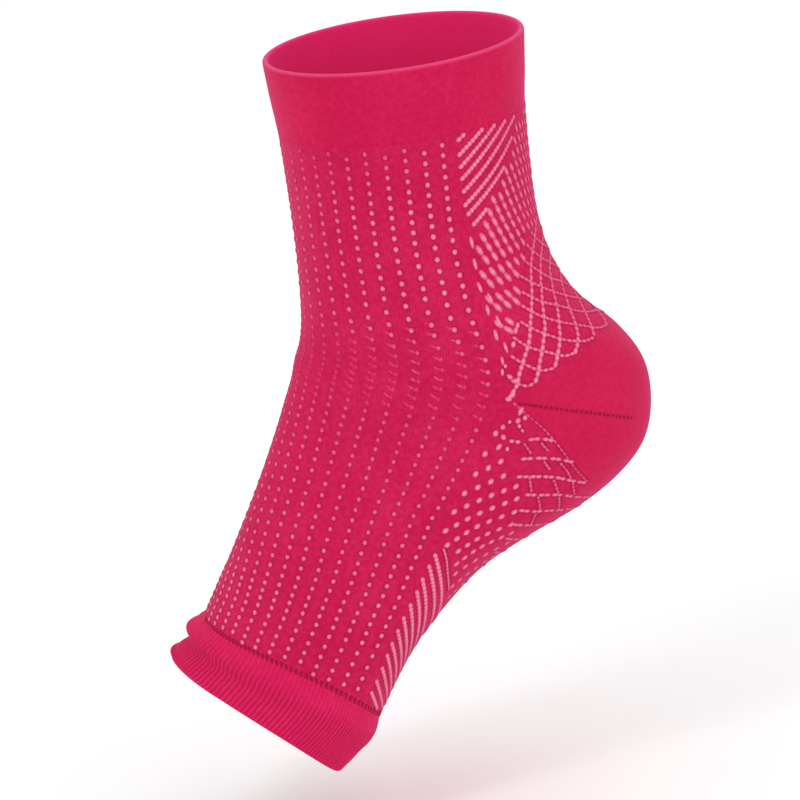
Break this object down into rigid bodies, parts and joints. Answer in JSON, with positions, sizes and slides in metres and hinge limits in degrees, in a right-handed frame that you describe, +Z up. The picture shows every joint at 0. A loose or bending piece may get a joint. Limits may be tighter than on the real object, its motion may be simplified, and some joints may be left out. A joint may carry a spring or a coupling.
{
  "type": "open-toe compression ankle sock",
  "caption": "Knitted compression ankle sleeve in its worn form, with a plain top cuff, dotted leg and instep, patterned Achilles and arch zones, a heel pocket and an open ribbed toe band.",
  "frame": {"origin": "centre of the ankle inside the sock, where it sits on the leg and foot; it is the leg_and_foot mount", "axes": "+Z up the leg and out of the cuff, toes toward -X and down, heel toward +X, Y side to side across the plane of symmetry"},
  "size_m": [0.1622, 0.0768, 0.2337],
  "materials": {
    "cuff_knit": "fine plain knit, matte with a soft sheen",
    "panel_knit": "fine mesh-dotted knit, matte with a soft sheen",
    "heel_knit": "thicker plain knit, matte",
    "toe_knit": "fine ribbed elastic knit, matte",
    "light_yarn": "pale yarn of the knit pattern, matte",
    "seam_thread": "shadowed stitch line"
  },
  "bodies": {
    "root": {"top_cuff": "cuff_knit", "leg_instep_panel": "panel_knit", "achilles_panel": "panel_knit", "heel_pocket": "heel_knit", "sole_panel": "panel_knit", "toe_band": "toe_knit"}
  },
  "joints": []
}
